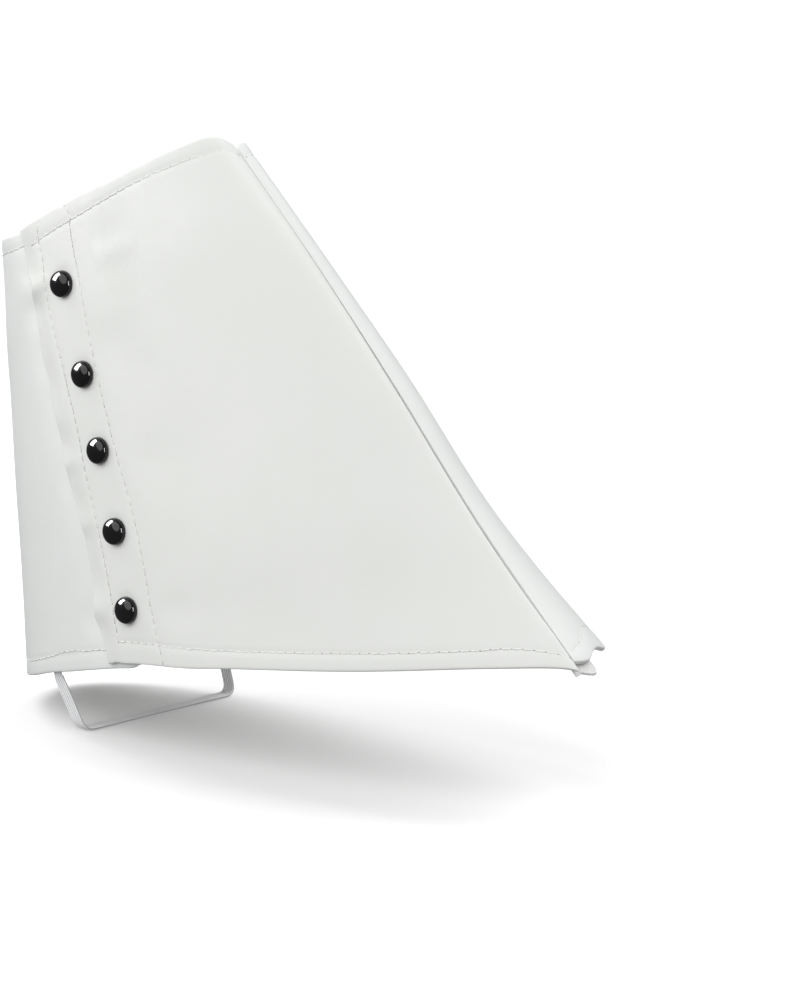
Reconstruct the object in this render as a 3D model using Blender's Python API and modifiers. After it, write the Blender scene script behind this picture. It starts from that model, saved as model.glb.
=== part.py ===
"""One buttoned spat for a right foot, in the hollow shape that it keeps when it is worn.

It is sewn from two quarters of stiff coated cloth. The outer quarter runs back from the front seam to a
buttoned edge. The inner quarter runs from the front seam round the inner side and the heel, and on under
the buttoned edge. Five domed buttons close it, and an elastic strap passes under the heel.

Sizes are set out in foot space: X runs forward from the back of the foot, Y to the inner side of the foot,
and Z up from the ground. The spat's own origin is the middle of the ankle that holds it up.
"""

import bisect
import functools
import math
from collections import namedtuple

import bmesh
import bpy
from mathutils import Matrix, Vector

MM = 0.001
OUTER = -1
INNER = 1

# The middle of the ankle, in foot space
ANKLE = Vector((65.0, 0.0, 95.0)) * MM

# Cloth
WALL = 1.2 * MM
TURNED_WALL = 1.9 * MM
TURNED_SHARE = 0.035
TURN_STEP = 0.006
SEAM_GAP = 0.3 * MM

# Lap of the outer quarter over the inner one, at the buttoned edge
UNDERLAP = 30.0 * MM
LAP_FADE = 20.0 * MM
LAP_LIFT = WALL + SEAM_GAP
LAP_HEM_STEP = 0.009

# The inner quarter's hem, which ends a little higher than the outer one's at the front seam
STEP_AT_SEAM = 0.021
STEP_REACH = 9.0 * MM
STEP_FADE = 24.0 * MM

# Domed buttons
BUTTON_RADIUS = 4.15 * MM
BUTTON_HEIGHT = 3.0 * MM
BUTTON_RIM = 0.5 * MM
BUTTON_FOOT_RADIUS = 3.5 * MM
BUTTON_TURNS = 24
BUTTON_RINGS = 5

# Front seam's allowance, turned to the inner side
ALLOWANCE_WIDTH = 6.2 * MM
ALLOWANCE_WALL = 1.2 * MM
ALLOWANCE_STEPS = 3
ALLOWANCE_BELOW_HEM = -0.012
ALLOWANCE_TOP = 0.985

# Elastic strap under the heel
STRAP_WIDTH = 4.6 * MM
STRAP_WALL = 0.9 * MM
STRAP_FROM_HEEL = 62.0 * MM
STRAP_SEWN_SHARE = 0.05
STRAP_SEWN_STEPS = 3
STRAP_FLOOR_X = 46.0 * MM
STRAP_FLOOR_HALF = 32.5 * MM
STRAP_BEND = 4.0 * MM
STRAP_BEND_STEPS = 6

# How finely the shapes are cut into faces
OUTER_STEPS = 30
INNER_STEPS = 50
UP_STEPS = 16
RING_STEPS = 160
SEAM_CROWDING = 1.15
SHARP_ANGLE = math.radians(40)
MERGE_DISTANCE = 0.01 * MM

# How far apart the points are that a direction of the cloth is measured between
PROBE = 1.0 * MM
PROBE_UP = 0.01

# The mitre at the front seam is no longer than the wall is thick, divided by this
LEAST_SLANT = 0.35
MITRED_SHARE = 0.9

# A row for each level of the spat, from 0 at the hem to 1 at the rim, in millimetres. front and back are
# the ends of the section in the middle plane, and the halves are how far each side stands from that plane.
# The widest places are shares of the way back from the seam. A front power of 1 is a wedge, and 0.5 is
# blunt. A higher heel power is a fuller heel. edge_from_heel runs round the cloth to the buttoned edge.
Section = namedtuple(
    "Section",
    "level front_x front_z back_x back_z outer_half inner_half outer_widest inner_widest"
    " outer_front inner_front heel edge_from_heel",
)
SECTIONS = (
    Section(0.00, 231.0, 46.0, -4.0, 8.5, 41.4, 43.7, 0.61, 0.26, 0.95, 0.56, 3.0, 96.5),
    Section(0.25, 189.6, 84.3, -6.6, 42.2, 38.2, 38.0, 0.62, 0.36, 0.83, 0.64, 2.7, 85.0),
    Section(0.50, 155.4, 120.2, -10.2, 76.9, 34.9, 33.4, 0.63, 0.40, 0.73, 0.63, 2.5, 71.9),
    Section(0.75, 121.5, 153.7, -13.7, 112.0, 31.5, 28.2, 0.63, 0.46, 0.62, 0.67, 2.2, 57.5),
    Section(1.00, 84.6, 187.8, -16.8, 147.7, 28.0, 23.2, 0.63, 0.50, 0.51, 0.70, 2.0, 46.1),
)

# How far the hem and the rim rise over a straight line from the seam to the heel, in millimetres, by turn
# from 0 at the seam to 1 at the heel.
EdgeLine = namedtuple("EdgeLine", "turn hem_rise rim_rise")
EDGE_LINES = (
    EdgeLine(0.00, 0.0, 0.0),
    EdgeLine(0.10, 2.1, 3.8),
    EdgeLine(0.20, 3.1, 3.3),
    EdgeLine(0.35, 4.5, 1.3),
    EdgeLine(0.50, 6.2, -0.7),
    EdgeLine(0.65, 4.8, -2.4),
    EdgeLine(0.80, -1.2, -0.4),
    EdgeLine(1.00, -3.7, 0.4),
)

# Soft folds of the outer quarter at its buttoned edge. Reach is a share of the height.
Fold = namedtuple("Fold", "level height reach depth_mm")
FOLDS = (
    Fold(0.855, 1.8, 0.040, 10.0),
    Fold(0.560, 0.7, 0.060, 8.0),
    Fold(0.380, 0.6, 0.055, 8.0),
)

# A row for each button: its level, and how far in front of the buttoned edge its middle lies.
Button = namedtuple("Button", "level from_edge_mm")
BUTTONS = (
    Button(0.845, 17.7),
    Button(0.642, 18.9),
    Button(0.470, 17.6),
    Button(0.292, 16.7),
    Button(0.122, 15.1),
)

# A place in a wall of cloth: how far round and how far up it lies, how far the wall stands off the spat's
# outside there, and how thick it is.
Station = namedtuple("Station", "share level lift thickness")

# Colour, roughness and metallic value of each finish
Finish = namedtuple("Finish", "colour roughness metallic")
WHITE_COATED_CLOTH = Finish((0.78, 0.80, 0.77, 1.0), 0.42, 0.0)
WHITE_BACKING = Finish((0.80, 0.80, 0.78, 1.0), 0.90, 0.0)
BLACK_ENAMEL = Finish((0.012, 0.012, 0.013, 1.0), 0.12, 0.0)
WHITE_ELASTIC = Finish((0.76, 0.77, 0.78, 1.0), 0.85, 0.0)


def column_at(rows, key, field, place):
    """A column of a table at a place between its rows, on a smooth curve through them."""
    places = [getattr(row, key) for row in rows]
    values = [getattr(row, field) for row in rows]
    last = len(rows) - 1
    start = min(max(bisect.bisect_right(places, place) - 1, 0), last - 1)
    span = places[start + 1] - places[start]
    t = (place - places[start]) / span

    def slope(index):
        low, high = max(index - 1, 0), min(index + 1, last)
        return (values[high] - values[low]) / (places[high] - places[low])

    value = (2 * t**3 - 3 * t**2 + 1) * values[start] + (3 * t**2 - 2 * t**3) * values[start + 1]
    return value + span * ((t**3 - 2 * t**2 + t) * slope(start) + (t**3 - t**2) * slope(start + 1))


@functools.lru_cache(maxsize=None)
def section_at(level):
    """The section of the spat at any level."""
    return Section(*(column_at(SECTIONS, "level", field, level) for field in Section._fields))


def half_width(section, side, back):
    """How far one side stands from the middle plane, at a share of the way back from the seam."""
    if side == OUTER:
        half, widest, front = section.outer_half, section.outer_widest, section.outer_front
    else:
        half, widest, front = section.inner_half, section.inner_widest, section.inner_front
    if back < widest:
        return half * (1 - (1 - back / widest) ** 2) ** front
    return half * math.sqrt(max(0.0, 1 - ((back - widest) / (1 - widest)) ** section.heel))


def outline_point(side, turn, level):
    """A point of the spat's outside. Turn runs from 0 at the seam to 1 at the back of the heel."""
    section = section_at(level)
    back = math.sin(turn * math.pi / 2) ** 2
    x = section.front_x + (section.back_x - section.front_x) * back
    y = side * half_width(section, side, back)
    z = section.front_z + (section.back_z - section.front_z) * back
    z += (1 - level) * column_at(EDGE_LINES, "turn", "hem_rise", turn)
    z += level * column_at(EDGE_LINES, "turn", "rim_rise", turn)
    return Vector((x, y, z)) * MM


@functools.lru_cache(maxsize=None)
def half_ring(side, level):
    """Points of one side at a level, from the heel to the seam, and how far round each lies."""
    points = [outline_point(side, 1 - step / RING_STEPS, level) for step in range(RING_STEPS + 1)]
    runs = [0.0]
    for near, far in zip(points, points[1:]):
        runs.append(runs[-1] + (far - near).length)
    return points, runs


def side_length(side, level):
    """The running length of the cloth from the heel to the seam, over one side."""
    return half_ring(side, level)[1][-1]


def cloth_point(share, level):
    """A point of the spat's outside. Share is -1 at the seam over the outer side, 0 at the heel, and 1 at
    the seam over the inner side, and it counts running length. Past the hem the cloth goes straight on."""
    if level < 0:
        hem = cloth_point(share, 0)
        return hem + (hem - cloth_point(share, PROBE_UP)) * (-level / PROBE_UP)
    points, runs = half_ring(OUTER if share < 0 else INNER, level)
    run = min(abs(share), 1.0) * runs[-1]
    index = min(max(bisect.bisect_right(runs, run) - 1, 0), len(runs) - 2)
    part = (run - runs[index]) / (runs[index + 1] - runs[index])
    return points[index].lerp(points[index + 1], part)


def along_ring(share, level):
    """The direction of the cloth round the spat, from the outer side over the heel to the inner side."""
    step = PROBE / side_length(OUTER if share < 0 else INNER, max(level, 0))
    behind = cloth_point(max(share - step, -1), level)
    return (cloth_point(min(share + step, 1), level) - behind).normalized()


def up_cloth(share, level):
    """The direction of the cloth up the spat."""
    below = cloth_point(share, level - PROBE_UP)
    return (cloth_point(share, min(level + PROBE_UP, 1)) - below).normalized()


def outward(share, level):
    """The outward normal of the cloth."""
    return up_cloth(share, level).cross(along_ring(share, level)).normalized()


def wall_points(station):
    """The outside and the inside point of a wall at a station. At the front seam the wall ends beside the
    middle plane, where both quarters are mitred."""
    share, level, lift, thickness = station
    point = cloth_point(share, level)
    normal = outward(share, level)
    side = math.copysign(1, share)
    plane = SEAM_GAP / 2
    if abs(share) == 1:
        up = up_cloth(share, level)
        inward = Vector((-up.z, 0, up.x)).normalized()
        slant = max(abs(normal.dot(inward)), LEAST_SLANT)
        outside = point - inward * (lift / slant)
        inside = outside + inward * (thickness / slant)
        outside.y = inside.y = side * plane
        return outside, inside
    outside = point + normal * lift
    inside = outside - normal * thickness
    if abs(share) > MITRED_SHARE:
        outside.y = side * max(side * outside.y, plane)
        inside.y = side * max(side * inside.y, plane)
    return outside, inside


def turned_thickness(level):
    """The wall's thickness, which is greater at the turned hem and the turned rim."""
    edge = min(level, 1 - level)
    return TURNED_WALL if edge <= TURNED_SHARE else WALL


def levels_up():
    """Levels of the rows of a quarter, with two close rows where each turned edge ends."""
    turned = (0.0, TURNED_SHARE, TURNED_SHARE + TURN_STEP)
    middle = [step / UP_STEPS for step in range(1, UP_STEPS)]
    return [*turned, *middle, *(1 - level for level in reversed(turned))]


def smooth_step(value):
    """Rises smoothly from 0 to 1 as the value does."""
    value = min(max(value, 0.0), 1.0)
    return value * value * (3 - 2 * value)


def edge_share(level):
    """The share round the outer side at which the buttoned edge lies."""
    return -section_at(level).edge_from_heel * MM / side_length(OUTER, level)


def lap_amount(share, level):
    """How far the outer quarter has risen on to the inner one: 0 in front of the lap, and 1 on it."""
    from_edge = (edge_share(level) - share) * side_length(OUTER, level)
    return smooth_step((UNDERLAP + LAP_FADE - from_edge) / LAP_FADE)


def outer_lift(share, level):
    """How far the outer quarter stands off the spat's outside, with its folds at the buttoned edge."""
    from_edge = (edge_share(level) - share) * side_length(OUTER, level)
    lift = LAP_LIFT * lap_amount(share, level)
    for fold in FOLDS:
        near = math.exp(-(((level - fold.level) / fold.reach) ** 2))
        lift += fold.height * MM * near * math.exp(-((from_edge / (fold.depth_mm * MM)) ** 2))
    return lift


def add_object(name, mesh, finish, collection, parent):
    """Puts a mesh in the scene as a named piece with a finish of its own."""
    material = bpy.data.materials.new(name + "_finish")
    material.use_nodes = True
    shader = material.node_tree.nodes["Principled BSDF"]
    shader.inputs["Base Color"].default_value = finish.colour
    shader.inputs["Roughness"].default_value = finish.roughness
    shader.inputs["Metallic"].default_value = finish.metallic
    if not mesh.materials:
        mesh.materials.append(material)
    piece = bpy.data.objects.new(name, mesh)
    collection.objects.link(piece)
    piece.parent = parent
    return piece


def lofted_mesh(name, loops):
    """A closed mesh lofted through loops of points, and closed at the first and the last."""
    shape = bmesh.new()
    rings = [[shape.verts.new(point) for point in loop] for loop in loops]
    count = len(loops[0])
    for ring, following in zip(rings, rings[1:]):
        for index in range(count):
            after = (index + 1) % count
            shape.faces.new((ring[index], ring[after], following[after], following[index]))
    close_end(shape, rings[0])
    close_end(shape, rings[-1])
    bmesh.ops.recalc_face_normals(shape, faces=shape.faces)
    mesh = bpy.data.meshes.new(name)
    shape.to_mesh(mesh)
    shape.free()
    mesh.shade_smooth()
    mesh.set_sharp_from_angle(angle=SHARP_ANGLE)
    return mesh


def close_end(shape, ring):
    """Fills a thin loop with a ladder of faces across it, from its outside half to its inside half."""
    half = len(ring) // 2
    for index in range(half - 1):
        shape.faces.new((ring[index], ring[index + 1], ring[-index - 2], ring[-index - 1]))


def cloth_wall(name, rows):
    """A wall of cloth. Each row of stations is a loop along the outside and back along the inside."""
    loops = []
    for row in rows:
        pairs = [wall_points(station) for station in row]
        loops.append([outside for outside, _ in pairs] + [inside for _, inside in reversed(pairs)])
    return lofted_mesh(name, loops)


def shares_between(start, end, steps):
    """Shares from the front seam to the far edge of a quarter, crowded towards the seam."""
    return [start + (end - start) * (step / steps) ** SEAM_CROWDING for step in range(steps + 1)]


def outer_station(share, level):
    """The outer quarter at one place. On the lap it lies over the inner quarter, and its hem is higher."""
    lapped = lap_amount(share, level)
    thickness = turned_thickness(level) * (1 - lapped) + WALL * lapped
    raised = level + (1 - level) * LAP_HEM_STEP * lapped
    return Station(share, raised, outer_lift(share, raised), thickness)


def inner_station(share, level):
    """The inner quarter at one place. Its hem rises in a step beside the front seam."""
    from_seam = (1 - share) * side_length(INNER, level)
    step = STEP_AT_SEAM * smooth_step((STEP_REACH + STEP_FADE - from_seam) / STEP_FADE)
    return Station(share, level + (1 - level) * step, 0.0, turned_thickness(level))


def outer_quarter_mesh():
    """The outer quarter, from the front seam back to the buttoned edge."""
    rows = []
    for level in levels_up():
        shares = shares_between(-1.0, edge_share(level), OUTER_STEPS)
        rows.append([outer_station(share, level) for share in shares])
    return cloth_wall("outer_quarter", rows)


def inner_quarter_mesh():
    """The inner quarter, from the front seam round the heel to the end of the underlap."""
    rows = []
    for level in levels_up():
        end = edge_share(level) - UNDERLAP / side_length(OUTER, level)
        rows.append([inner_station(share, level) for share in shares_between(1.0, end, INNER_STEPS)])
    return cloth_wall("inner_quarter", rows)


def front_seam_allowance_mesh():
    """The inner quarter's seam allowance, which lies inside it and hangs a little below the hem."""
    lift = -(TURNED_WALL + SEAM_GAP)
    rows = []
    for step in range(UP_STEPS + 1):
        level = ALLOWANCE_BELOW_HEM + (ALLOWANCE_TOP - ALLOWANCE_BELOW_HEM) * step / UP_STEPS
        width = ALLOWANCE_WIDTH / side_length(INNER, max(level, 0))
        shares = [1 - width * part / ALLOWANCE_STEPS for part in range(ALLOWANCE_STEPS + 1)]
        rows.append([Station(share, level, lift, ALLOWANCE_WALL) for share in shares])
    return cloth_wall("front_seam_allowance", rows)


def strap_side(side):
    """Centres of the strap on one side, from its sewn end to the floor, each with the way its width runs."""
    share = side * STRAP_FROM_HEEL / side_length(side, 0)
    sink = TURNED_WALL + SEAM_GAP + STRAP_WALL / 2
    stations = []
    for step in range(STRAP_SEWN_STEPS + 1):
        level = STRAP_SEWN_SHARE * (1 - step / STRAP_SEWN_STEPS)
        centre = cloth_point(share, level) - outward(share, level) * sink
        stations.append((centre, along_ring(share, level) * side))
    hem = stations[-1][0]
    corner = Vector((STRAP_FLOOR_X, side * STRAP_FLOOR_HALF, -STRAP_WALL / 2))
    start = corner + (hem - corner).normalized() * STRAP_BEND
    end = corner - Vector((0, side * STRAP_BEND, 0))
    for step in range(STRAP_BEND_STEPS + 1):
        part = step / STRAP_BEND_STEPS
        centre = start.lerp(corner, part).lerp(corner.lerp(end, part), part)
        stations.append((centre, Vector((1, 0, 0))))
    return stations


def under_strap_mesh():
    """The flat elastic strap, from inside the outer hem, under the heel, to inside the inner hem."""
    stations = strap_side(OUTER) + strap_side(INNER)[::-1]
    centres = [centre for centre, _ in stations]
    loops = []
    for index, (centre, across) in enumerate(stations):
        ahead = centres[min(index + 1, len(centres) - 1)] - centres[max(index - 1, 0)]
        run = ahead.normalized()
        across = (across - run * across.dot(run)).normalized() * (STRAP_WIDTH / 2)
        through = run.cross(across).normalized() * (STRAP_WALL / 2)
        near, far = centre - across, centre + across
        loops.append([near + through, far + through, far - through, near - through])
    return lofted_mesh("under_strap", loops)


def button_mesh():
    """A domed button, turned from its profile, with its flat foot at Z = 0."""
    profile = [(0.0, BUTTON_HEIGHT)]
    for step in range(1, BUTTON_RINGS + 1):
        angle = math.pi / 2 * step / BUTTON_RINGS
        height = BUTTON_RIM + (BUTTON_HEIGHT - BUTTON_RIM) * math.cos(angle)
        profile.append((BUTTON_RADIUS * math.sin(angle), height))
    profile += [(BUTTON_FOOT_RADIUS, 0.0), (0.0, 0.0)]
    line = bpy.data.meshes.new("button_profile")
    edges = [(index, index + 1) for index in range(len(profile) - 1)]
    line.from_pydata([(radius, 0.0, height) for radius, height in profile], edges, [])
    blank = bpy.data.objects.new("button_profile", line)
    bpy.context.scene.collection.objects.link(blank)
    screw = blank.modifiers.new("turn", "SCREW")
    screw.axis = "Z"
    screw.steps = screw.render_steps = BUTTON_TURNS
    screw.use_merge_vertices = True
    screw.merge_threshold = MERGE_DISTANCE
    graph = bpy.context.evaluated_depsgraph_get()
    mesh = bpy.data.meshes.new_from_object(blank.evaluated_get(graph))
    bpy.data.objects.remove(blank)
    mesh.name = "button"
    mesh.shade_smooth()
    mesh.set_sharp_from_angle(angle=SHARP_ANGLE)
    return mesh


def button_matrix(button):
    """Where a button sits: on the outer quarter's outside, facing out from it."""
    share = edge_share(button.level) - button.from_edge_mm * MM / side_length(OUTER, button.level)
    normal = outward(share, button.level)
    seat = cloth_point(share, button.level) + normal * (outer_lift(share, button.level) + SEAM_GAP)
    return Matrix.Translation(seat) @ normal.to_track_quat("Z", "Y").to_matrix().to_4x4()


def main():
    for old in list(bpy.data.objects):
        bpy.data.objects.remove(old)
    collection = bpy.data.collections.new("spat")
    bpy.context.scene.collection.children.link(collection)
    foot_space = bpy.data.objects.new("foot_space", None)
    foot_space.location = -ANKLE
    collection.objects.link(foot_space)

    add_object("outer_quarter", outer_quarter_mesh(), WHITE_COATED_CLOTH, collection, foot_space)
    add_object("inner_quarter", inner_quarter_mesh(), WHITE_COATED_CLOTH, collection, foot_space)
    add_object("front_seam_allowance", front_seam_allowance_mesh(), WHITE_BACKING, collection, foot_space)
    add_object("under_strap", under_strap_mesh(), WHITE_ELASTIC, collection, foot_space)
    dome = button_mesh()
    for number, button in enumerate(BUTTONS, 1):
        piece = add_object(f"button_{number}", dome, BLACK_ENAMEL, collection, foot_space)
        piece.matrix_local = button_matrix(button)


main()
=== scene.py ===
# %% [markdown]
# # A buttoned spat
#
# A spat is a short gaiter that covers the instep and the ankle. This one is sewn from two quarters of stiff
# white coated cloth, closed by five black domed buttons on its outer side, and held down by an elastic
# strap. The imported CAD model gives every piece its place. This script lays finer cloth, thread, elastic and
# enamel over it, one piece a step. Sizes are worked out in foot space, in millimetres: X runs forward from
# the back of the foot, Y to its inner side, and Z up from the ground.

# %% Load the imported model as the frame
import math
from collections import namedtuple

import bmesh
import bpy
import numpy as np
from mathutils import Matrix, Vector


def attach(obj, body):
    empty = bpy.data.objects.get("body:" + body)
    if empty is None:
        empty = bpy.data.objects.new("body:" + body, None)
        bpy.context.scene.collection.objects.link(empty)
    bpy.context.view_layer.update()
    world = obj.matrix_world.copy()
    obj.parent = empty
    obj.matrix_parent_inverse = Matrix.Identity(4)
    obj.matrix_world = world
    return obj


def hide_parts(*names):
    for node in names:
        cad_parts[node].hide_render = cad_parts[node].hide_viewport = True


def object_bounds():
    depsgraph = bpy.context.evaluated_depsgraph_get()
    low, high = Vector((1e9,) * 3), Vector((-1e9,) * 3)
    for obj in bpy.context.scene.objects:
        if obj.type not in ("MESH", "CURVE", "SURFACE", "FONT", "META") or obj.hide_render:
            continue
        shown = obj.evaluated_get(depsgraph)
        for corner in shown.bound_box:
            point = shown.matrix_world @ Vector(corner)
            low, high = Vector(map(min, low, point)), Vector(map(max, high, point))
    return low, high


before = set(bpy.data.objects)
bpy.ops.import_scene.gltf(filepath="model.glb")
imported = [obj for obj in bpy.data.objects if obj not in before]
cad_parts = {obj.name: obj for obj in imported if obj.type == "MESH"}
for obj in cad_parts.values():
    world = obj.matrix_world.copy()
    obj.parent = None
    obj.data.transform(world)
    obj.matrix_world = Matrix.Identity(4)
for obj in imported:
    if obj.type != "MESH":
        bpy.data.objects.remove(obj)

MM = 0.001
ANKLE = np.array((65.0, 0.0, 95.0))
CAD_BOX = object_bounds()
print("The CAD model's box:", [tuple(round(x, 4) for x in corner) for corner in CAD_BOX])

# %% [markdown]
# ## Camera
#
# The photograph looks at the spat's outer side from in front and a little above, with a long lens. The
# camera is placed by the two angles, the distance and the point that it looks at, because these are what a
# photographer would note down. It could be parented to an empty and turned, but one matrix is enough here.

# %% The camera, at the photograph's viewing angle
CAMERA_AZIMUTH = math.radians(44.807)
CAMERA_ELEVATION = math.radians(11.781)
CAMERA_DISTANCE = 1100.0
CAMERA_LENS = 131.39
CAMERA_TARGET = (156.944, 0.0, 86.307)


def to_frame(points):
    """Points in foot space, in millimetres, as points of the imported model, in metres."""
    return (np.asarray(points) - ANKLE) * MM


def put_camera():
    data = bpy.data.cameras.new("photo_camera")
    data.lens = CAMERA_LENS
    camera = bpy.data.objects.new("photo_camera", data)
    bpy.context.scene.collection.objects.link(camera)
    flat = math.cos(CAMERA_ELEVATION)
    back = Vector(
        (math.sin(CAMERA_AZIMUTH) * flat, -math.cos(CAMERA_AZIMUTH) * flat, math.sin(CAMERA_ELEVATION))
    )
    camera.location = Vector(to_frame(CAMERA_TARGET)) + back * CAMERA_DISTANCE * MM
    camera.rotation_euler = (-back).to_track_quat("-Z", "Y").to_euler()
    bpy.context.scene.camera = camera
    return camera


camera = put_camera()
print("Camera at", [round(x, 4) for x in camera.location], "with a lens of", CAMERA_LENS, "mm")

# %% [markdown]
# ## The worn form
#
# Coated cloth this stiff keeps the shape of the leg that it was buttoned round. That shape is given by five
# level sections, from the hem to the rim, with a smooth curve through each column of their table. Cloth
# simulation would have to be fed the same form to fall on, so the form is drawn directly. It is measured
# once into a fine net of points, and every piece is then laid on the net by its distances in the cloth.

# %% Sections of the worn form
OUTER = -1
INNER = 1

# A row for each level, from 0 at the hem to 1 at the rim, in millimetres. front and back are the ends of the
# section in the middle plane, and the halves are how far each side stands from it. The widest places are
# shares of the way back from the seam. edge_from_heel runs round the cloth to the buttoned edge.
Section = namedtuple(
    "Section",
    "level front_x front_z back_x back_z outer_half inner_half outer_widest inner_widest"
    " outer_front inner_front heel edge_from_heel",
)
SECTIONS = (
    Section(0.00, 231.0, 46.0, -4.0, 8.5, 41.4, 43.7, 0.61, 0.26, 0.95, 0.56, 3.0, 96.5),
    Section(0.25, 189.6, 84.3, -6.6, 42.2, 38.2, 38.0, 0.62, 0.36, 0.83, 0.64, 2.7, 85.0),
    Section(0.50, 155.4, 120.2, -10.2, 76.9, 34.9, 33.4, 0.63, 0.40, 0.73, 0.63, 2.5, 71.9),
    Section(0.75, 121.5, 153.7, -13.7, 112.0, 31.5, 28.2, 0.63, 0.46, 0.62, 0.67, 2.2, 57.5),
    Section(1.00, 84.6, 187.8, -16.8, 147.7, 28.0, 23.2, 0.63, 0.50, 0.51, 0.70, 2.0, 46.1),
)

# How far the hem and the rim rise over a straight line from the seam to the heel, by turn from 0 to 1.
EdgeLine = namedtuple("EdgeLine", "turn hem_rise rim_rise")
EDGE_LINES = (
    EdgeLine(0.00, 0.0, 0.0),
    EdgeLine(0.10, 2.1, 3.8),
    EdgeLine(0.20, 3.1, 3.3),
    EdgeLine(0.35, 4.5, 1.3),
    EdgeLine(0.50, 6.2, -0.7),
    EdgeLine(0.65, 4.8, -2.4),
    EdgeLine(0.80, -1.2, -0.4),
    EdgeLine(1.00, -3.7, 0.4),
)


def column_at(rows, field, places):
    """A column of a table at many places, on a smooth curve through its rows."""
    at = np.array([row[0] for row in rows], float)
    values = np.array([getattr(row, field) for row in rows], float)
    order = np.arange(len(rows))
    low, high = np.maximum(order - 1, 0), np.minimum(order + 1, len(rows) - 1)
    slopes = (values[high] - values[low]) / (at[high] - at[low])
    start = np.clip(np.searchsorted(at, places, side="right") - 1, 0, len(rows) - 2)
    span = at[start + 1] - at[start]
    t = (places - at[start]) / span
    value = (2 * t**3 - 3 * t**2 + 1) * values[start] + (3 * t**2 - 2 * t**3) * values[start + 1]
    bend = (t**3 - 2 * t**2 + t) * slopes[start] + (t**3 - t**2) * slopes[start + 1]
    return value + span * bend


# %% Half sections
def half_width(section, side, back):
    """How far one side stands from the middle plane, at shares of the way back from the seam."""
    if side == OUTER:
        half, widest, front = section.outer_half, section.outer_widest, section.outer_front
    else:
        half, widest, front = section.inner_half, section.inner_widest, section.inner_front
    ahead = np.clip(1 - back / widest, 0, 1)
    behind = np.clip((back - widest) / (1 - widest), 0, 1)
    return half * np.where(back < widest, (1 - ahead**2) ** front, np.sqrt(1 - behind**section.heel))


def half_ring(side, level, steps):
    """Points of one side at a level, from the heel to the seam, spaced evenly, and their running length."""
    section = Section(*(float(column_at(SECTIONS, field, level)) for field in Section._fields))
    turn = np.linspace(1, 0, 4 * steps + 1)
    back = np.sin(turn * math.pi / 2) ** 2
    x = section.front_x + (section.back_x - section.front_x) * back
    y = side * half_width(section, side, back)
    z = section.front_z + (section.back_z - section.front_z) * back
    z += (1 - level) * column_at(EDGE_LINES, "hem_rise", turn)
    z += level * column_at(EDGE_LINES, "rim_rise", turn)
    points = np.stack([x, y, z], axis=1)
    runs = np.concatenate([[0], np.cumsum(np.linalg.norm(np.diff(points, axis=0), axis=1))])
    even = np.linspace(0, runs[-1], steps + 1)
    return np.stack([np.interp(even, runs, points[:, axis]) for axis in range(3)], axis=1), runs[-1]


# %% The net, and what is measured on it
NET_ROWS = 160
NET_STEPS = 320
LEVELS = np.linspace(0, 1, NET_ROWS + 1)
SHARES = np.linspace(-1, 1, 2 * NET_STEPS + 1)


def worn_net():
    """The form's points by level and share. Share is -1 at the front seam over the outer side, 0 at the
    heel and 1 at the seam over the inner side. Also the length of each side at each level."""
    rows, lengths = [], []
    for level in LEVELS:
        outer, outer_length = half_ring(OUTER, level, NET_STEPS)
        inner, inner_length = half_ring(INNER, level, NET_STEPS)
        rows.append(np.concatenate([outer[::-1], inner[1:]]))
        lengths.append((outer_length, inner_length))
    return np.array(rows), np.array(lengths)


def unit(vectors):
    return vectors / np.linalg.norm(vectors, axis=-1, keepdims=True)


NET, LENGTHS = worn_net()
NET_ROUND = unit(np.gradient(NET, axis=1))
NET_UP = unit(np.gradient(NET, axis=0))
NET_OUT = unit(np.cross(NET_UP, NET_ROUND))
CLIMB = np.concatenate(
    [np.zeros((1, len(SHARES))), np.cumsum(np.linalg.norm(np.diff(NET, axis=0), axis=2), axis=0)]
)
LEVEL_BY_CLIMB = np.stack(
    [np.interp(LEVELS * CLIMB[-1, i], CLIMB[:, i], LEVELS) for i in range(len(SHARES))], axis=1
)
print("The seam is", round(CLIMB[-1, 0], 1), "mm long, and the heel", round(CLIMB[-1, NET_STEPS], 1))
print("The hem is", round(LENGTHS[0].sum(), 1), "mm round, and the rim", round(LENGTHS[-1].sum(), 1))


def on_net(table, share, level):
    """A table of the net at any shares and levels. Outside the net it goes straight on."""
    column, row = (share + 1) * NET_STEPS, level * NET_ROWS
    i = np.clip(np.floor(row), 0, NET_ROWS - 1).astype(int)
    j = np.clip(np.floor(column), 0, 2 * NET_STEPS - 1).astype(int)
    across, up = column - j, row - i
    if table.ndim == 3:
        across, up = across[..., None], up[..., None]
    low = table[i, j] * (1 - across) + table[i, j + 1] * across
    high = table[i + 1, j] * (1 - across) + table[i + 1, j + 1] * across
    return low * (1 - up) + high * up


def side_length(side, level):
    return np.interp(level, LEVELS, LENGTHS[:, 0 if side == OUTER else 1])


def share_at(run, level):
    """The share at a running length from the heel, which is negative over the outer side."""
    return run / np.where(run < 0, side_length(OUTER, level), side_length(INNER, level))


def height_at(share):
    return np.interp(share, SHARES, CLIMB[-1])


def level_at(share, climb):
    """The level at a distance up the cloth from the hem."""
    return on_net(LEVEL_BY_CLIMB, share, climb / height_at(share))


# %% [markdown]
# ## Laying cloth on the form
#
# A quarter is a sheet cut to a shape, so the places on it are distances in the cloth: across from one of
# its edges, and up from its hem. A net of such places is settled on the form, and a wall of cloth is built
# there from an outside and an inside skin. The wall thins to nothing along a quarter circle at each of its
# edges, where the skins share their points, so every edge is rounded and the shell is closed. Beside the
# front seam both quarters stop just short of the middle plane, which mitres them and leaves a fine groove. A
# plane with Solidify would do as a start, but it could not follow that mitre or the folds of the lap.

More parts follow.
